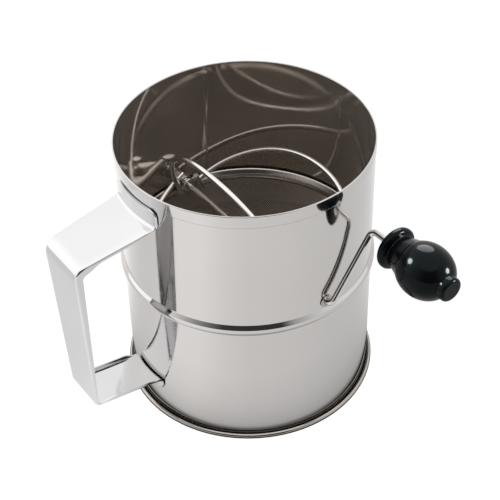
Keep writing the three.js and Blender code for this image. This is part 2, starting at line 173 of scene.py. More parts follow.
def steel(name, bright, dull, roughness, grain, bump, metallic=1):
    """Polished steel: cloudy tone, uneven gloss and fine lines across the axis of the largest grain."""
    material, tree, shader = principled(name)
    shader.inputs["Metallic"].default_value = metallic
    clouds = noise(tree, scale=14, detail=3)
    mixed_colour(tree, shader, clouds, dull, bright)
    smears = noise(tree, scale=30, detail=4, stretch=(1, 1, 2.5))
    tree.links.new(ranged(tree, smears, *roughness), shader.inputs["Roughness"])
    lines = noise(tree, scale=60, detail=2, stretch=grain)
    bumped(tree, shader, lines, bump)
    return material


def black_gloss(name):
    """Polished black plastic, faintly blue-green where it reflects."""
    material, tree, shader = principled(name)
    shade = noise(tree, scale=40, detail=3)
    mixed_colour(tree, shader, shade, (0.0015, 0.0015, 0.002), (0.003, 0.003, 0.0035))
    shader.inputs["Specular IOR Level"].default_value = 0.1
    shader.inputs["Specular Tint"].default_value = (0.75, 0.96, 1, 1)
    rough = ranged(tree, noise(tree, scale=90, detail=3), 0.1, 0.14)
    tree.links.new(rough, shader.inputs["Roughness"])
    bumped(tree, shader, noise(tree, scale=260, detail=2), 0.04)
    return material


sheet_steel = steel(
    "polished_sheet",
    bright=(0.62, 0.605, 0.595),
    dull=(0.57, 0.555, 0.545),
    roughness=(0.05, 0.1),
    grain=(1, 1, 24),
    bump=0.035,
)
handle_steel = steel(
    "polished_strap",
    bright=(0.665, 0.665, 0.67),
    dull=(0.6, 0.602, 0.608),
    roughness=(0.05, 0.1),
    grain=(14, 1, 1),
    bump=0.03,
)
# A darker, browner copy of the sheet's steel for the inside of the wall: painted shade within the
# cylinder.
inner_shaded_steel = steel(
    "inside_painted_shade",
    bright=(0.5, 0.445, 0.395),
    dull=(0.45, 0.4, 0.355),
    roughness=(0.04, 0.09),
    grain=(1, 1, 24),
    bump=0.02,
    metallic=0.8,
)
# A darker copy of the sheet's steel for the curled base edge: painted shade near the floor.
curl_shaded_steel = steel(
    "curl_painted_shade",
    bright=(0.42, 0.39, 0.36),
    dull=(0.35, 0.325, 0.3),
    roughness=(0.12, 0.18),
    grain=(1, 1, 6),
    bump=0.01,
)
# The wire inside the curl in near-black steel: painted shade, the dark line in the crease above the base.
crease_shade_wire = steel(
    "wire_painted_shade",
    bright=(0.1, 0.09, 0.08),
    dull=(0.06, 0.055, 0.05),
    roughness=(0.3, 0.4),
    grain=(1, 1, 6),
    bump=0.01,
)
ring_steel = steel(
    "ring_steel",
    bright=(0.5, 0.46, 0.42),
    dull=(0.4, 0.37, 0.34),
    roughness=(0.12, 0.22),
    grain=(1, 1, 10),
    bump=0.05,
)
wire_steel = steel(
    "bright_wire",
    bright=(0.7, 0.68, 0.66),
    dull=(0.6, 0.58, 0.56),
    roughness=(0.08, 0.16),
    grain=(1, 8, 8),
    bump=0.05,
)
weld_steel = steel(
    "weld_steel",
    bright=(0.5, 0.47, 0.43),
    dull=(0.36, 0.34, 0.31),
    roughness=(0.2, 0.34),
    grain=(2, 2, 2),
    bump=0.2,
)
mesh_steel = steel(
    "mesh_wire",
    bright=(0.58, 0.51, 0.44),
    dull=(0.46, 0.4, 0.34),
    roughness=(0.3, 0.45),
    grain=(3, 3, 3),
    bump=0.05,
    metallic=0.5,
)
black_plastic = black_gloss("black_knob")


# ---- Mesh helpers --------------------------------------------------------------------------------


def add_piece(name, points, faces, material, body, nodes=(), sharp=40):
    """A piece that rides on a body and stands in for CAD nodes; edges over `sharp` degrees stay crisp."""
    mesh = bpy.data.meshes.new(name)
    mesh.from_pydata([Vector(p) * MM for p in points], [], faces)
    work = bmesh.new()
    work.from_mesh(mesh)
    bmesh.ops.remove_doubles(work, verts=work.verts, dist=1e-7)
    bmesh.ops.recalc_face_normals(work, faces=work.faces)
    if work.calc_volume(signed=True) < 0:
        bmesh.ops.reverse_faces(work, faces=work.faces)
    limit = math.radians(sharp)
    for face in work.faces:
        face.smooth = True
    for edge in work.edges:
        if len(edge.link_faces) == 2 and edge.calc_face_angle(0) > limit:
            edge.smooth = False
    work.to_mesh(mesh)
    work.free()
    mesh.materials.append(material)
    piece = bpy.data.objects.new(name, mesh)
    bpy.context.scene.collection.objects.link(piece)
    if nodes:
        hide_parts(*nodes)
    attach(piece, body)
    return piece


def arc(centre_r, centre_z, radius, start, end, steps):
    """Points on an arc of an outline, both ends included; angles in degrees."""
    turns = [math.radians(start + (end - start) * i / steps) for i in range(steps + 1)]
    return [(centre_r + radius * math.cos(a), centre_z + radius * math.sin(a)) for a in turns]


def circle(centre_r, centre_z, radius, sides):
    """A closed round outline."""
    return arc(centre_r, centre_z, radius, 0, 360 - 360 / sides, sides - 1)


def rounded(corners, steps=6):
    """A closed outline whose corners (r, z, radius) are rounded off."""
    nearly_straight = math.radians(89)
    points = []
    for i, (r, z, radius) in enumerate(corners):
        here = Vector((r, z))
        back = (Vector(corners[i - 1][:2]) - here).normalized()
        ahead = (Vector(corners[(i + 1) % len(corners)][:2]) - here).normalized()
        half = back.angle(ahead) / 2
        if radius == 0 or half > nearly_straight:
            points.append((r, z))
            continue
        centre = here + (back + ahead).normalized() * (radius / math.sin(half))
        start = here + back * (radius / math.tan(half)) - centre
        turn = math.copysign(math.pi - 2 * half, back.y * ahead.x - back.x * ahead.y)
        for k in range(steps + 1):
            a = turn * k / steps
            x = centre.x + start.x * math.cos(a) - start.y * math.sin(a)
            y = centre.y + start.x * math.sin(a) + start.y * math.cos(a)
            points.append((x, y))
    return points


def washer(inner_r, outer_r, low, high, inner_edge, outer_edge):
    """The corners (r, z, radius) of a flat ring, for rounded()."""
    return [
        (inner_r, low, inner_edge),
        (outer_r, low, outer_edge),
        (outer_r, high, outer_edge),
        (inner_r, high, inner_edge),
    ]


def lathe(outline, place, segments):
    """Points and faces of an outline of (radius, height) turned round its axis; place puts them."""
    points, rings = [], []
    for r, height in outline:
        count = 1 if r == 0 else segments
        rings.append([len(points) + k for k in range(count)])
        for k in range(count):
            turn = 2 * math.pi * k / segments
            points.append(place(r * math.cos(turn), r * math.sin(turn), height))
    closed = outline[0][0] != 0
    pairs = zip(rings, rings[1:] + rings[:1]) if closed else zip(rings, rings[1:])
    faces = []
    for low, high in pairs:
        for k in range(segments):
            n = (k + 1) % segments
            if len(low) == 1:
                faces.append((low[0], high[n], high[k]))
            elif len(high) == 1:
                faces.append((low[k], low[n], high[0]))
            else:
                faces.append((low[k], low[n], high[n], high[k]))
    return points, faces


def upright(x, y, height):
    return (x, y, height)


def on_shaft(side):
    """Puts heights along the shaft: towards +X for side 1 and towards -X for side -1."""

    def place(x, y, height):
        return (side * height, y, AXIS_Z + x)

    return place


def on_spindle(x, y, height):
    """Puts heights along the knob's spindle, towards +X."""
    return (height, REACH_Y + y, AXIS_Z + REACH_Z + x)


def sweep(path, radius, sides, normals=None):
    """Points and faces of a round wire along a path, with closed ends."""
    points, faces = [], []
    side = None
    for i, here in enumerate(path):
        before = path[max(i - 1, 0)]
        after = path[min(i + 1, len(path) - 1)]
        along = (after - before).normalized()
        if normals:
            side = normals[i]
        elif side is None:
            side = along.orthogonal()
        side = (side - along * side.dot(along)).normalized()
        other = along.cross(side)
        for k in range(sides):
            turn = 2 * math.pi * k / sides
            points.append(here + (side * math.cos(turn) + other * math.sin(turn)) * radius)
        if i:
            low, high = (i - 1) * sides, i * sides
            for k in range(sides):
                n = (k + 1) % sides
                faces.append((low + k, low + n, high + n, high + k))
    faces.append(tuple(range(sides))[::-1])
    faces.append(tuple(len(points) - sides + k for k in range(sides)))
    return points, faces


def bend(before, corner, after, radius, steps):
    """Points round a bend of a wire at a corner, from the leg before it to the leg after it."""
    leg_in = (corner - before).normalized()
    leg_out = (after - corner).normalized()
    turn = leg_in.angle(leg_out)
    start = corner - leg_in * radius * math.tan(turn / 2)
    inward = (leg_out - leg_in * math.cos(turn)).normalized()
    turns = [turn * i / steps for i in range(steps + 1)]
    return [start + leg_in * radius * math.sin(a) + inward * radius * (1 - math.cos(a)) for a in turns]


# ---- Shell ---------------------------------------------------------------------------------------

CURL_R = 2.0  # outside of the curled base edge, kept inside the CAD's box
CURL_FLAT = math.radians(20)  # half angle of the flat that it stands on
CURL_Z = CURL_R * math.cos(CURL_FLAT)
CURL_CENTRE = INNER_R + CURL_R
CURL_START, CURL_END = 180, 435  # degrees round the curl, from the wall to its free edge
BASE_WIRE_R = 1.2
BEAD_SLOPE_Z = 4.2  # from the middle of the bead to where its slopes meet the wall
BEAD_APEX = 3.28  # where the bead's slopes would meet, out from the wall
HEM_EDGE = 0.68  # roundness of the top edge
INSIDE_SLOT, CURL_SLOT = 1, 2  # the shell's material slots after the sheet's own


def shell_outline():
    """The sheet's section: out round the curl and back, up the outside and down the inside."""
    outer_arc = arc(CURL_CENTRE, CURL_Z, CURL_R, CURL_START, CURL_END, steps=40)
    inner_arc = arc(CURL_CENTRE, CURL_Z, CURL_R - SHEET, CURL_END, CURL_START, steps=30)
    outer_curl = [(r, max(z, 0), 0) for r, z in outer_arc]
    inner_curl = [(r, z, 0) for r, z in inner_arc]
    wall = [
        (SHELL_R, BEAD_Z - BEAD_SLOPE_Z, 1.4),
        (SHELL_R + BEAD_APEX, BEAD_Z, 4),
        (SHELL_R, BEAD_Z + BEAD_SLOPE_Z, 1.4),
        (SHELL_R, HEM_LOW, 0.2),
        (HEM_R, HEM_LOW, 0.45),
        (HEM_R, SHELL_HEIGHT, HEM_EDGE),
        (INNER_R, SHELL_HEIGHT, HEM_EDGE),
        (INNER_R, BEAD_Z + BEAD_SLOPE_Z, 2),
        (INNER_R + BEAD_APEX, BEAD_Z, 3.4),
        (INNER_R, BEAD_Z - BEAD_SLOPE_Z, 2),
    ]
    return rounded(outer_curl + inner_curl + wall, steps=10)


def colour_shell(shell):
    """Gives the inner wall and the curled edge their own darker steels: painted shade inside and along
    the base.
    """
    shell.data.materials.append(inner_shaded_steel)
    shell.data.materials.append(curl_shaded_steel)
    for face in shell.data.polygons:
        outward = Vector((face.center.x, face.center.y, 0)).normalized()
        faces_in = face.normal.dot(outward) < -0.5
        if faces_in and face.center.z < (SHELL_HEIGHT - 1) * MM:
            face.material_index = INSIDE_SLOT
        elif face.center.z < 2 * CURL_R * MM:
            face.material_index = CURL_SLOT


points, faces = lathe(shell_outline(), upright, segments=224)
shell = add_piece("shell_sheet", points, faces, sheet_steel, BODY, ["body_shell"], sharp=60)
colour_shell(shell)

# The wire in the curl shows through the gap above it as a painted shade line.
points, faces = lathe(circle(CURL_CENTRE, CURL_Z, BASE_WIRE_R, sides=24), upright, segments=128)
add_piece("curl_wire", points, faces, crease_shade_wire, BODY, ["base_wire"])

# Across the seam and out from the inner wall: sloping sides and a flat ridge.
SEAM_SECTION = [(-0.9, 0.15), (-0.6, -0.05), (-0.35, -0.28), (0.35, -0.28), (0.6, -0.05), (0.9, 0.15)]
SEAM_LOW, SEAM_HIGH = BEAD_Z + 6, HEM_LOW - 1
SEAM_STEPS = 30


def lap_seam(name, azimuth):
    """A thin raised strip down the inside of the wall."""
    size = len(SEAM_SECTION)
    points, faces = [], []
    for i in range(SEAM_STEPS + 1):
        z = SEAM_LOW + (SEAM_HIGH - SEAM_LOW) * i / SEAM_STEPS
        for across, outward in SEAM_SECTION:
            r = INNER_R + outward
            turn = math.radians(azimuth) + across / INNER_R
            points.append((r * math.cos(turn), r * math.sin(turn), z))
        if i:
            low, high = (i - 1) * size, i * size
            for k in range(size):
                n = (k + 1) % size
                faces.append((low + k, low + n, high + n, high + k))
    faces.append(tuple(range(size)))
    faces.append(tuple(range(len(points) - size, len(points))))
    # The seams take the inside's painted-shade steel.
    add_piece(name, points, faces, inner_shaded_steel, BODY, sharp=60)


lap_seam("lap_seam_far", azimuth=163)
lap_seam("lap_seam_back", azimuth=93)


# ---- Rings and mesh ------------------------------------------------------------------------------

# The ring's band lies on the wall, its shoulder springs into the groove of the bead, and its rolled
# inner edge holds the edge of the mesh down.
SCREEN_RING = [
    (78.3, 88.2, 0.2),
    (79.1, 88.2, 0.2),
    (79.1, 91, 1),
    (80.7, 93.6, 1),
    (80.8, 96, 0.8),
    (79.6, 97.4, 0.6),
    (78.6, 96.9, 1.2),
    (76.6, 94.4, 1.6),
    (75.7, 92, 1),
    (75.8, 91, 0.4),
    (76.7, 91.4, 0.4),
    (78.3, 94, 0.6),
]
points, faces = lathe(rounded(SCREEN_RING), upright, segments=192)
add_piece("snap_ring", points, faces, ring_steel, BODY, ["screen_ring"], sharp=60)

CLAMP_RING = washer(76.6, 78, 88.4, 89.6, inner_edge=0.3, outer_edge=0.3)
points, faces = lathe(rounded(CLAMP_RING, steps=3), upright, segments=160)
add_piece("clamp_ring", points, faces, ring_steel, BODY, ["screen_clamp_ring"], sharp=60)

SCREEN_HALF, SCREEN_DEPTH = 76.7, 69.9  # the bowl's half width and depth, from the shaft's height
SCREEN_SQUARENESS = 0.84
SCREEN_EDGE_Z = 90.2
SCREEN_FLANGE_R = 77.7
BOWL_STEPS = 240
MESH_PITCH = 1.26  # from one wire to the next
MESH_WIRE_R = 0.19
MESH_WAVE = 0.2  # how far a wire rises over the ones it crosses
SHORTEST_WIRE = 2  # crossings each way, or it is left out


def bowl_profile():
    """(distance along the surface, radius, height) from the bottom of the bowl out to its flange."""
    first = math.asin(((AXIS_Z - SCREEN_EDGE_Z) / SCREEN_DEPTH) ** (1 / SCREEN_SQUARENESS))
    rows, travelled = [(0, 0, AXIS_Z - SCREEN_DEPTH)], 0
    for i in range(1, BOWL_STEPS + 1):
        t = math.pi / 2 + (first - math.pi / 2) * i / BOWL_STEPS
        r = SCREEN_HALF * math.cos(t) ** SCREEN_SQUARENESS
        z = AXIS_Z - SCREEN_DEPTH * math.sin(t) ** SCREEN_SQUARENESS
        travelled += math.hypot(r - rows[-1][1], z - rows[-1][2])
        rows.append((travelled, r, z))
    _, edge_r, edge_z = rows[-1]
    rows.append((travelled + SCREEN_FLANGE_R - edge_r, SCREEN_FLANGE_R, edge_z))
    return rows


bowl = bowl_profile()
bowl_distances = [distance for distance, _, _ in bowl]
bowl_reach = bowl_distances[-1]


def on_bowl(u, v, lift):
    """A point of the flat mesh at (u, v), drawn down into the bowl, and the bowl's normal there."""
    distance = min(math.hypot(u, v), bowl_reach)
    i = min(max(bisect.bisect_left(bowl_distances, distance), 1), len(bowl) - 1)
    (d0, r0, z0), (d1, r1, z1) = bowl[i - 1], bowl[i]
    share = (distance - d0) / (d1 - d0)
    slope = Vector((r1 - r0, z1 - z0)).normalized()
    turn = math.atan2(v, u)
    outward = Vector((math.cos(turn), math.sin(turn), 0))
    normal = outward * -slope.y + Vector((0, 0, slope.x))
    point = outward * (r0 + (r1 - r0) * share) + Vector((0, 0, z0 + (z1 - z0) * share))
    return point + normal * lift, normal


def mesh_wires(name, crossing):
    """One of the two families of woven wires; crossing swaps the two directions."""
    points, faces = [], []
    rows = int(bowl_reach / MESH_PITCH)
    for row in range(-rows, rows + 1):
        v = row * MESH_PITCH
        reach = math.sqrt(max(bowl_reach**2 - v**2, 0))
        half_steps = int(reach / MESH_PITCH)
        if half_steps < SHORTEST_WIRE:
            continue
        path, normals = [], []
        for k in range(-half_steps, half_steps + 1):
            u = k * MESH_PITCH
            lift = MESH_WAVE * (1 if (k + row + crossing) % 2 == 0 else -1)
            point, normal = on_bowl(v, u, lift) if crossing else on_bowl(u, v, lift)
            path.append(point)
            normals.append(normal)
        base = len(points)
        wire_points, wire_faces = sweep(path, MESH_WIRE_R, sides=4, normals=normals)
        points += wire_points
        faces += [tuple(base + k for k in face) for face in wire_faces]
    return add_piece(name, points, faces, mesh_steel, BODY, sharp=180)


warp = mesh_wires("mesh_warp", False)
mesh_wires("mesh_weft", True)
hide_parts("screen")


# ---- Crank, collars and eyelets ------------------------------------------------------------------

BORE_R = 2.1  # eyelets and knob, which run on the crank wire
SLIP_R = 2.05  # what is pushed on the wire
SLEEVE_R = WIRE_R + GAP  # washers and cap

EYELET_R, BARREL_R = 4.3, 3.4
BOSS_X = INNER_R - GAP - 4.4  # inner end of an eyelet's boss
RIM_X = SHELL_R + GAP + 0.5  # outer face of its thin flange
EYELET = [
    (BORE_R, BOSS_X, 0.3),
    (EYELET_R, BOSS_X, 0.5),
    (EYELET_R, INNER_R - GAP, 0.2),
    (BARREL_R, INNER_R - GAP, 0),
    (BARREL_R, SHELL_R + GAP, 0),
    (EYELET_R, SHELL_R + GAP, 0.1),
    (EYELET_R, RIM_X, 0.3),
    (BORE_R, RIM_X, 0.15),
]

THRUST_HIGH = BOSS_X - GAP
THRUST_LOW = THRUST_HIGH - 1
THRUST = washer(SLEEVE_R, 5, THRUST_LOW, THRUST_HIGH, inner_edge=0.1, outer_edge=0.35)

# A spool with one flange for the feet of each pair of bows.
COLLAR_R = 3.6
FLANGE_R = BOW_OFFSET - BOW_R - GAP
FLANGE_HALF = 1.1
INNER_FLANGE_X, OUTER_FLANGE_X = BOW_HALF - BOW_STAGGER, BOW_HALF + BOW_STAGGER
COLLAR_END_X = THRUST_LOW - GAP
COLLAR = [
    (SLIP_R, INNER_FLANGE_X - FLANGE_HALF, 0),
    (FLANGE_R, INNER_FLANGE_X - FLANGE_HALF, 0.4),
    (FLANGE_R, INNER_FLANGE_X + FLANGE_HALF, 0.4),
    (COLLAR_R, INNER_FLANGE_X + FLANGE_HALF, 0.3),
    (COLLAR_R, OUTER_FLANGE_X - FLANGE_HALF, 0.3),
    (FLANGE_R, OUTER_FLANGE_X - FLANGE_HALF, 0.4),
    (FLANGE_R, OUTER_FLANGE_X + FLANGE_HALF, 0.4),
    (COLLAR_R, OUTER_FLANGE_X + FLANGE_HALF, 0.3),
    (COLLAR_R, COLLAR_END_X, 0.3),
    (SLIP_R, COLLAR_END_X, 0),
]

RETAINER_LOW = RIM_X + GAP
RETAINER_HIGH = RETAINER_LOW + 0.7
RETAINER = washer(SLEEVE_R, 4.8, RETAINER_LOW, RETAINER_HIGH, inner_edge=0.1, outer_edge=0.25)

CAP_R, CAP_LOW, CAP_BORE_X = 4.4, RETAINER_HIGH + GAP, GAP - SHAFT_END_X
CAP_DOME_X, CAP_DOME = 84.4, 2.25  # where the dome starts, and how far it stands out
CAP_STEPS = 12


def crank_path():
    """The crank wire's middle line, from the shaft's far end to the end of the knob's spindle."""
    shaft_end = Vector((SHAFT_END_X, 0, AXIS_Z))
    elbow = Vector((ELBOW_X, 0, AXIS_Z))
    corner = Vector((CORNER_X, REACH_Y, AXIS_Z + REACH_Z))
    spindle_end = Vector((SPINDLE_END_X, REACH_Y, AXIS_Z + REACH_Z))
    first_bend = bend(shaft_end, elbow, corner, BEND_R, steps=16)
    second_bend = bend(elbow, corner, spindle_end, BEND_R, steps=16)
    return [shaft_end, *first_bend, *second_bend, spindle_end]


def cap_outline():
    """A domed cap with a blind bore that the shaft's end stands in."""
    turns = [math.pi / 2 * k / CAP_STEPS for k in range(CAP_STEPS)]
    dome = [(CAP_R * math.cos(a), CAP_DOME_X + CAP_DOME * math.sin(a)) for a in turns]
    bore = [(0, CAP_BORE_X), (SLEEVE_R, CAP_BORE_X), (SLEEVE_R, CAP_LOW)]
    rim = [(CAP_R - 0.2, CAP_LOW), (CAP_R, CAP_LOW + 0.2)]
    return [*bore, *rim, *dome, (0, CAP_DOME_X + CAP_DOME)]


points, faces = sweep(crank_path(), WIRE_R, sides=32)
add_piece("crank_rod", points, faces, wire_steel, AGITATOR, ["crank_wire"])

for place, side in (("near", 1), ("far", -1)):
    points, faces = lathe(rounded(EYELET, steps=4), on_shaft(side), segments=64)
    add_piece(f"eyelet_{place}", points, faces, ring_steel, BODY, [f"bushing_{place}"])
    points, faces = lathe(rounded(COLLAR, steps=4), on_shaft(side), segments=64)
    add_piece(f"spool_{place}", points, faces, wire_steel, AGITATOR, [f"collar_{place}"])
    points, faces = lathe(rounded(THRUST, steps=4), on_shaft(side), segments=64)
    node = f"thrust_washer_{place}"
    add_piece(f"disc_{place}", points, faces, wire_steel, AGITATOR, [node])

points, faces = lathe(rounded(RETAINER, steps=4), on_shaft(-1), segments=64)
add_piece("outer_washer", points, faces, wire_steel, AGITATOR, ["retaining_washer"])

points, faces = lathe(cap_outline(), on_shaft(-1), segments=64)
add_piece("push_cap", points, faces, wire_steel, AGITATOR, ["end_cap"])


# ---- Bows ----------------------------------------------------------------------------------------

BOW_STEPS = 48  # from a foot to the crown
WELD_BEAD = [(0, 0), (1.2, 0.1), (1.9, 0.6), (1.7, 1), (1.3, 1.3), (1.1, 1.6), (0, 1.7)]
WELD_SINK = 0.6  # how deep the bead starts in the flange


def bow_place(angle, shift, along, out, aside):
    """A point in a bow's own directions: along the shaft, out from it and beside it."""
    return Vector((
        along + shift,
        out * math.cos(angle) - aside * math.sin(angle),
        AXIS_Z + out * math.sin(angle) + aside * math.cos(angle),
    ))


def bow_path(angle, shift, aside):
    """Half an oval over the shaft, with straight feet that run on past the collars."""
    halves = []
    for side in (-1, 1):
        half = [bow_place(angle, shift, side * BOW_HALF, -BOW_FOOT, aside)]
        for i in range(BOW_STEPS + 1):
            t = math.pi / 2 * i / BOW_STEPS
            along = side * BOW_HALF * max(math.cos(t), 0) ** BOW_SQUARENESS
            out = BOW_HEIGHT * math.sin(t) ** BOW_SQUARENESS
            half.append(bow_place(angle, shift, along, out, aside))
        halves.append(half)
    first, second = halves
    return first + second[-2::-1]


def foot_weld(name, angle, shift, aside, side):
    """A small flared bead of weld where a foot lies on a collar's flange."""
    way = math.copysign(1, aside)
    base = bow_place(angle, shift, side * BOW_HALF, 0, way * (FLANGE_R - WELD_SINK))
    up = (bow_place(angle, shift, side * BOW_HALF, 0, aside) - base).normalized()
    across = Vector((1, 0, 0))
    third = up.cross(across)

    def place(x, y, height):
        return base + across * x + third * y + up * height

    points, faces = lathe(WELD_BEAD, place, segments=24)
    add_piece(name, points, faces, weld_steel, AGITATOR, sharp=70)


for i, degrees in enumerate(BOW_ANGLES):
    angle = math.radians(degrees)
    flip = -1 if i % 2 == 0 else 1
    shift, aside = flip * BOW_STAGGER, flip * BOW_OFFSET
    points, faces = sweep(bow_path(angle, shift, aside), BOW_R, sides=20)
    node = f"bow_{i + 1}"
    add_piece(f"wire_{node}", points, faces, wire_steel, AGITATOR, [node])
    foot_weld(f"foot_weld_{i + 1}_a", angle, shift, aside, -1)
    foot_weld(f"foot_weld_{i + 1}_b", angle, shift, aside, 1)


# ---- Handle --------------------------------------------------------------------------------------

STRAP = 1.0  # sheet thickness
TAB_R = SHELL_R + 0.4 + STRAP  # outer face of the two tabs
OUT_TOP, OUT_BOTTOM = 133.0, 129.0  # outer face of the grip, from the axis
TOP_ROOT_Z, TOP_OUTER_Z = 163.0, 154.0  # outer faces of the two arms, at the wall and at the grip
BOTTOM_ROOT_Z, BOTTOM_OUTER_Z = 30.5, 37.5
TAB_TOP_Z, TAB_BOTTOM_Z = 174.5, 22.0
ROOT_BEND_R, TOP_BEND_R, BOTTOM_BEND_R = 2.2, 9.5, 4.5
TAB_CORNER_R = 4.5
LIP_TOP, LIP_GRIP_TOP, LIP_GRIP_BOTTOM, LIP_BOTTOM = 2.4, 5.4, 2.0, 3.5  # depths of the turned edges
TAB_EDGE = 0.8  # the tabs' edges are only rounded over
FOLD_R = 1.8  # outside of the fold between the strap and its turned edges
HALF_WIDTH, GRIP_SPREAD, ROOT_SPREAD = 15.2, 3.0, 3.4  # at the bottom, and what the top adds
STRAP_STEP = 2.5
FOLD_STEPS, FLAT_STEPS = 8, 12  # across the strap: in each fold, and between the folds
# Distances out at which one form starts to go over into the next, and at which it has.
LIP_OPENS, LIP_OPEN = TAB_R + 1.5, TAB_R + 11  # a tab's edges to an arm's
GRIP_STARTS, GRIP_FULL = OUT_TOP - 18, OUT_BOTTOM - 3  # an arm's edges to the grip's
HUG_ENDS, HUG_ENDED = TAB_R + 3, TAB_R + 28  # bowed like the wall to straight across
HANDLE_TURN = math.radians(-1.4)


def line_meet(a, b, c, d):
    """Where the line a-b meets the line c-d."""
    along, across = b - a, d - c
    scale = along.x * across.y - along.y * across.x
    offset = c - a
    return a + along * ((offset.x * across.y - offset.y * across.x) / scale)


def strap_path():
    """Outer face of the strap in (distance out, z), from the top tab round to the bottom tab."""
    tab = Vector((TAB_R, 0)), Vector((TAB_R, 1))
    top_arm = Vector((SHELL_R, TOP_ROOT_Z)), Vector((OUT_TOP, TOP_OUTER_Z))
    grip = Vector((OUT_TOP, TOP_OUTER_Z)), Vector((OUT_BOTTOM, BOTTOM_OUTER_Z))
    bottom_arm = Vector((SHELL_R, BOTTOM_ROOT_Z)), Vector((OUT_TOP, BOTTOM_OUTER_Z))
    knees = [
        line_meet(*tab, *top_arm),
        line_meet(*grip, *top_arm),
        line_meet(*grip, *bottom_arm),
        line_meet(*tab, *bottom_arm),
    ]
    ends = Vector((TAB_R, TAB_TOP_Z)), Vector((TAB_R, TAB_BOTTOM_Z))
    flat = [Vector((p.x, p.y, 0)) for p in (ends[0], *knees, ends[1])]
    path = [flat[0]]
    for i, radius in enumerate((ROOT_BEND_R, TOP_BEND_R, BOTTOM_BEND_R, ROOT_BEND_R)):
        path += bend(flat[i], flat[i + 1], flat[i + 2], radius, steps=12)
    path.append(flat[-1])
    dense = [path[0]]
    for a, b in zip(path, path[1:]):
        parts = max(1, round((b - a).length / STRAP_STEP))
        dense += [a.lerp(b, k / parts) for k in range(1, parts + 1)]
    return dense


def smooth_step(value, low, high):
    """0 below low and 1 above high, with a smooth slope between."""
    t = min(max((value - low) / (high - low), 0), 1)
    return t * t * (3 - 2 * t)


def strap_rise(z):
    """0 at the foot of the grip, 1 at its top."""
    return min(max((z - BOTTOM_OUTER_Z) / (TOP_OUTER_Z - BOTTOM_OUTER_Z), 0), 1)


def strap_lip(out, z):
    """Depth of the turned edges: least on the tabs, shallow on the arms, their own on the grip."""
    open_out = smooth_step(out, LIP_OPENS, LIP_OPEN)
    on_grip = smooth_step(out, GRIP_STARTS, GRIP_FULL)
    rise = strap_rise(z)
    arm = LIP_TOP if rise > 0.5 else LIP_BOTTOM
    grip = LIP_GRIP_BOTTOM + (LIP_GRIP_TOP - LIP_GRIP_BOTTOM) * rise
    return max(open_out * (arm + (grip - arm) * on_grip), TAB_EDGE)


def strap_half_width(out, z, end_gap):
    """Half the strap's width, widest at the top root, with the corners of the tabs rounded off."""
    rise = strap_rise(z)
    inward = min((OUT_TOP - out) / (OUT_TOP - SHELL_R), 1)
    top_share = min(max(rise * 4 - 3, 0), 1)
    width = HALF_WIDTH + GRIP_SPREAD * rise + ROOT_SPREAD * top_share * inward
    if end_gap < TAB_CORNER_R:
        width -= TAB_CORNER_R - math.sqrt(TAB_CORNER_R**2 - (TAB_CORNER_R - end_gap) ** 2)
    return width


def strap_section(half_width, lip, inset):
    """Across the strap: (sideways, depth) of one face, from lip to lip."""
    radius = max(min(FOLD_R, lip + 0.01) - inset, 0.05)
    side = half_width - inset
    flat = side - radius
    turns = [math.pi / 2 * k / FOLD_STEPS for k in range(FOLD_STEPS + 1)]
    left = [(-flat - radius * math.cos(a), inset + radius * (1 - math.sin(a))) for a in turns]
    middle = [(-flat + 2 * flat * k / FLAT_STEPS, inset) for k in range(1, FLAT_STEPS)]
    right = [(-across, depth) for across, depth in reversed(left)]
    depth = max(lip, inset + radius)
    return [(-side, depth), *left, *middle, *right, (side, depth)]


def strap_shape():
    """The strap as a closed sheet: its cross-section carried along its path, tabs bowed to the wall."""
    path = strap_path()
    travelled = [0]
    for a, b in zip(path, path[1:]):
        travelled.append(travelled[-1] + (b - a).length)
    total = travelled[-1]
    points, faces, ring_size = [], [], 0
    for i, here in enumerate(path):
        along = (path[min(i + 1, len(path) - 1)] - path[max(i - 1, 0)]).normalized()
        normal = Vector((-along.y, along.x, 0))
        lip = strap_lip(here.x, here.y)
        end_gap = min(travelled[i], total - travelled[i])
        half_width = strap_half_width(here.x, here.y, end_gap)
        loop = strap_section(half_width, lip, 0) + strap_section(half_width, lip, STRAP)[::-1]
        hug = 1 - smooth_step(here.x, HUG_ENDS, HUG_ENDED)
        for across, depth in loop:
            spot = here - normal * depth
            out = spot.x + (math.sqrt(spot.x**2 - across**2) - spot.x) * hug
            points.append((across, -out, spot.y))
        if i:
            low, high = len(points) - 2 * ring_size, len(points) - ring_size
            for k in range(ring_size):
                n = (k + 1) % ring_size
                faces.append((low + k, low + n, high + n, high + k))
        ring_size = len(loop)
    faces.append(tuple(range(ring_size)))
    faces.append(tuple(range(len(points) - ring_size, len(points))))
    turn = Matrix.Rotation(HANDLE_TURN, 3, "Z")
    return [turn @ Vector(p) for p in points], faces


points, faces = strap_shape()
add_piece("strap_handle", points, faces, handle_steel, BODY, ["handle"], sharp=50)

# A pressed ring with a dimple, from 0.4 mm inside the tab to just proud of it.
SPOT_WELD = [
    (0, -0.4),
    (2.8, -0.4),
    (2.8, 0),
    (2.2, 0.05),
    (1.7, 0.06),
    (1.2, 0.03),
    (0.6, 0.01),
    (0, 0.01),
]
TOP_WELDS, TOP_WELD_Z = (-13, 0, 13), 170
BOTTOM_WELDS, BOTTOM_WELD_Z = (-7.5, 7.5), 25.5


def spot_weld(name, across, z):
    """A pressed ring on a tab, where the strap is welded on."""
    azimuth = math.asin(across / TAB_R) - math.pi / 2 + HANDLE_TURN
    out = Vector((math.cos(azimuth), math.sin(azimuth), 0))
    side = Vector((-out.y, out.x, 0))
    base = out * TAB_R + Vector((0, 0, z))

    def place(x, y, height):
        return base + side * x + Vector((0, 0, y)) + out * height

    points, faces = lathe(SPOT_WELD, place, segments=32)
    add_piece(name, points, faces, handle_steel, BODY, sharp=80)


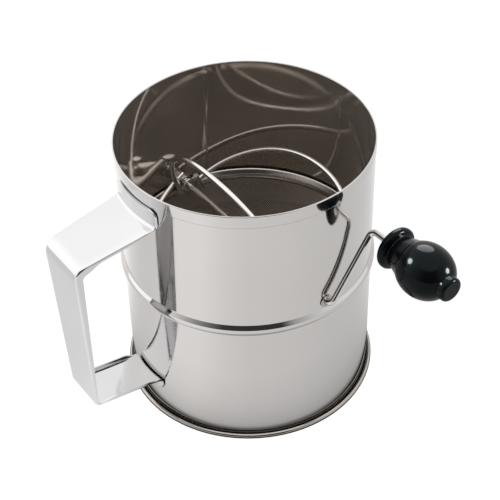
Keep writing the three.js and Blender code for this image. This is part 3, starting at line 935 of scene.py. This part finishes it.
for k, across in enumerate(TOP_WELDS):
    spot_weld(f"spot_weld_top_{k + 1}", across, TOP_WELD_Z)
for k, across in enumerate(BOTTOM_WELDS):
    spot_weld(f"spot_weld_bottom_{k + 1}", across, BOTTOM_WELD_Z)


# ---- Knob ----------------------------------------------------------------------------------------

EGG_X, EGG_HALF, EGG_R = 129, 18.6, 17
EGG_FULLNESS = 0.9  # 1 is an ellipse, smaller is fuller
EGG_START, EGG_TURN, EGG_STEPS = -42, 107.5, 40
TIP_R = 7.8
SOCKET_R, SOCKET_X = 4.6, 143  # the plug's hole in the end


def knob_outline():
    """A flat collar, a narrow neck, a full egg and a small tip, with the bore through them."""
    turns = [math.radians(EGG_START + EGG_TURN * k / EGG_STEPS) for k in range(EGG_STEPS + 1)]
    egg = [(EGG_R * math.cos(a) ** EGG_FULLNESS, EGG_X + EGG_HALF * math.sin(a), 0) for a in turns]
    collar_and_neck = [
        (BORE_R, KNOB_X, 0.3),
        (10.4, KNOB_X, 1.6),
        (13.8, KNOB_X + 1.5, 2.6),
        (13.7, KNOB_X + 5.4, 2.4),
        (10.3, KNOB_X + 6.7, 0.7),
        (10.3, KNOB_X + 7.6, 0.8),
    ]
    tip_and_bore = [
        (TIP_R, KNOB_END_X - 3.6, 0.6),
        (TIP_R - 0.05, KNOB_END_X, 1.9),
        (SOCKET_R, KNOB_END_X, 0.02),
        (SOCKET_R, SOCKET_X, 0.2),
        (BORE_R, SOCKET_X, 0.2),
    ]
    return rounded([*collar_and_neck, *egg, *tip_and_bore], steps=8)


points, faces = lathe(knob_outline(), on_spindle, segments=96)
knob_piece = add_piece(
    "turned_knob", points, faces, black_plastic, GRIP, ["knob"], sharp=50
)

PLUG = [(0, 147.7), (4.58, 147.7), (4.58, 151.17), (2.8, 151.18), (1.4, 151.19), (0, 151.19)]
points, faces = lathe(PLUG, on_spindle, segments=64)
add_piece("tip_plug", points, faces, black_plastic, GRIP, ["knob_end_plug"], sharp=50)

NECK_X = KNOB_X - GAP
KNOB_WASHER = washer(SLEEVE_R, 5.5, NECK_X - 0.8, NECK_X, inner_edge=0.1, outer_edge=0.3)
points, faces = lathe(rounded(KNOB_WASHER, steps=4), on_spindle, segments=64)
add_piece("spindle_washer", points, faces, wire_steel, AGITATOR, ["knob_washer"])

NUT_X = SOCKET_X + GAP
PUSH_NUT = washer(SLIP_R, 4.2, NUT_X, NUT_X + 1.2, inner_edge=0, outer_edge=0.3)
points, faces = lathe(rounded(PUSH_NUT, steps=4), on_spindle, segments=48)
add_piece("spindle_rivet", points, faces, wire_steel, AGITATOR, ["knob_retainer"])


# ---- Floor, light and camera ---------------------------------------------------------------------
# Lengths from here on are in metres.

CAMERA_AT = Vector((0.53223, -0.38527, 0.66019))
CAMERA_AIM = Vector((0.00162, 0.00084, 0.09135))
CAMERA_ROLL = math.radians(-1.504)
CAMERA_LENS, CAMERA_SENSOR = 96.07, 36  # millimetres
TOWARDS_CAMERA = Vector((CAMERA_AT.x, CAMERA_AT.y, 0)).normalized()
IMAGE_RIGHT = Vector((-TOWARDS_CAMERA.y, TOWARDS_CAMERA.x, 0))

FLOOR_HALF = 6.0
FLOOR_DROP = 0.0004  # keeps the floor clear of the base
FLOOR_TINT = (1, 0.99, 0.985, 1)
FLOOR_SEEN = 1.05  # how bright the camera sees it
# How bright the floor glows at distances from the axis: a painted shadow, dark under the base, then dim,
# then even.
FLOOR_GLOW_AND_SHADOW = [
    (0, 0),
    (0.0866, 0),
    (0.0876, 0.5),
    (0.092, 0.64),
    (0.103, 0.76),
    (0.115, 0.84),
    (0.135, 0.91),
    (0.2, 0.95),
]
# The same from the image's left (0) to its right (1): a painted pool of light, brightest near the left.
FLOOR_SIDES = [(0, 0.95), (0.08, 1.2), (0.2, 1.2), (0.35, 1.06), (0.5, 0.98), (0.75, 0.94), (1, 0.86)]

# How bright the room is to each side of the camera, by degrees towards the image's right.
ROOM = [
    (-180, 1.25),
    (-110, 1.6),
    (-85, 1.5),
    (-62, 0.85),
    (-45, 0.4),
    (-34, 0.22),
    (-22, 0.06),
    (0, 0.045),
    (27, 0.05),
    (37, 0.5),
    (50, 0.75),
    (64, 0.95),
    (85, 1.1),
    (180, 1.2),
]
ROOM_TOP, OVERHEAD_FROM = math.radians(42), math.radians(56)  # the room gives way to what is overhead
OVERHEAD = 1.5
BACKDROP = 1.1  # how bright the camera sees the room

# Small soft windows that only the knob reflects: (where from, width, power in watts).
KNOB_WINDOWS = [
    ((-0.62, -0.52, 0.5), 0.15, 4.0),
    ((0.675, 0.699, 0.238), 0.15, 4.0),
    ((-0.584, 0.503, 0.637), 0.34, 3.0),
]
WINDOW_DISTANCE = 0.5
WINDOW_TINT = (1, 0.97, 0.97)


def floor_material():
    """White to the eye; to all else a glow with a painted shadow, dark under the base and dim beside it.
    """
    material, tree, shader = principled("white_floor")
    shader.inputs["Base Color"].default_value = (0, 0, 0, 1)
    shader.inputs["Roughness"].default_value = 1
    shader.inputs["Specular IOR Level"].default_value = 0
    shader.inputs["Emission Color"].default_value = FLOOR_TINT
    place = tree.nodes.new("ShaderNodeNewGeometry").outputs["Position"]
    glow = ramp(tree, vector_maths(tree, "LENGTH", place, "Value"), FLOOR_GLOW_AND_SHADOW)
    rightward = dotted(tree, vector_maths(tree, "NORMALIZE", place), IMAGE_RIGHT)
    across = maths(tree, "ADD", maths(tree, "MULTIPLY", rightward, 0.5), 0.5)
    side = ramp(tree, across, FLOOR_SIDES)
    to_camera = tree.nodes.new("ShaderNodeLightPath").outputs["Is Camera Ray"]
    seen = tree.nodes.new("ShaderNodeMix")
    seen.inputs["B"].default_value = FLOOR_SEEN
    tree.links.new(to_camera, seen.inputs["Factor"])
    tree.links.new(maths(tree, "MULTIPLY", glow, side), seen.inputs["A"])
    tree.links.new(seen.outputs["Result"], shader.inputs["Emission Strength"])
    return material


def add_floor():
    """A large white floor that is part of the stage, not of the object."""
    corners = [(-1, -1, 0), (1, -1, 0), (1, 1, 0), (-1, 1, 0)]
    mesh = bpy.data.meshes.new("floor")
    mesh.from_pydata([Vector(p) * FLOOR_HALF for p in corners], [], [(0, 1, 2, 3)])
    mesh.materials.append(floor_material())
    floor = bpy.data.objects.new("floor", mesh)
    floor.location.z = -FLOOR_DROP
    bpy.context.scene.collection.objects.link(floor)


def add_world():
    """A bright studio all round and overhead, with a dark room behind the camera."""
    world = bpy.data.worlds.new("studio")
    bpy.context.scene.world = world
    world.use_nodes = True
    tree = world.node_tree
    way = tree.nodes.new("ShaderNodeTexCoord").outputs["Generated"]
    turn = maths(tree, "ARCTAN2", dotted(tree, way, IMAGE_RIGHT), dotted(tree, way, TOWARDS_CAMERA))
    share = maths(tree, "ADD", maths(tree, "DIVIDE", turn, 2 * math.pi), 0.5)
    sides = ramp(tree, share, [(degrees / 360 + 0.5, level) for degrees, level in ROOM])
    above = tree.nodes.new("ShaderNodeMapRange")
    above.interpolation_type = "SMOOTHSTEP"
    above.inputs["From Min"].default_value = math.sin(ROOM_TOP)
    above.inputs["From Max"].default_value = math.sin(OVERHEAD_FROM)
    tree.links.new(dotted(tree, way, (0, 0, 1)), above.inputs["Value"])
    room = tree.nodes.new("ShaderNodeMix")
    room.data_type = "RGBA"
    room.inputs["B"].default_value = (OVERHEAD, OVERHEAD, OVERHEAD, 1)
    tree.links.new(above.outputs["Result"], room.inputs["Factor"])
    tree.links.new(sides, room.inputs["A"])
    to_camera = tree.nodes.new("ShaderNodeLightPath").outputs["Is Camera Ray"]
    seen = tree.nodes.new("ShaderNodeMix")
    seen.data_type = "RGBA"
    seen.inputs["B"].default_value = (BACKDROP, BACKDROP, BACKDROP, 1)
    tree.links.new(to_camera, seen.inputs["Factor"])
    tree.links.new(room.outputs["Result"], seen.inputs["A"])
    tree.links.new(seen.outputs["Result"], tree.nodes["Background"].inputs["Color"])


def add_knob_windows(knob):
    """Round lamps that light nothing but the knob, for its glints."""
    lit = bpy.data.collections.new("knob_only")
    lit.objects.link(knob)
    centre = Vector((EGG_X, REACH_Y, AXIS_Z + REACH_Z)) * MM
    for i, (way, width, power) in enumerate(KNOB_WINDOWS):
        lamp = bpy.data.lights.new(f"knob_window_{i + 1}", "AREA")
        lamp.shape = "DISK"
        lamp.size = width
        lamp.energy = power
        lamp.color = WINDOW_TINT
        window = bpy.data.objects.new(lamp.name, lamp)
        window.location = centre + Vector(way).normalized() * WINDOW_DISTANCE
        window.rotation_euler = Vector(way).to_track_quat("Z", "Y").to_euler()
        window.visible_camera = False
        window.light_linking.receiver_collection = lit
        bpy.context.scene.collection.objects.link(window)


def add_camera():
    """The camera fitted to the photo's rim, bead and base."""
    data = bpy.data.cameras.new("camera")
    data.sensor_width = CAMERA_SENSOR
    data.lens = CAMERA_LENS
    camera = bpy.data.objects.new("camera", data)
    look = (CAMERA_AIM - CAMERA_AT).to_track_quat("-Z", "Y").to_matrix()
    rolled = look @ Matrix.Rotation(CAMERA_ROLL, 3, "Z")
    camera.matrix_world = Matrix.Translation(CAMERA_AT) @ rolled.to_4x4()
    bpy.context.scene.collection.objects.link(camera)
    bpy.context.scene.camera = camera


add_floor()
add_world()
add_knob_windows(knob_piece)
add_camera()
bpy.context.scene.view_settings.view_transform = "Standard"
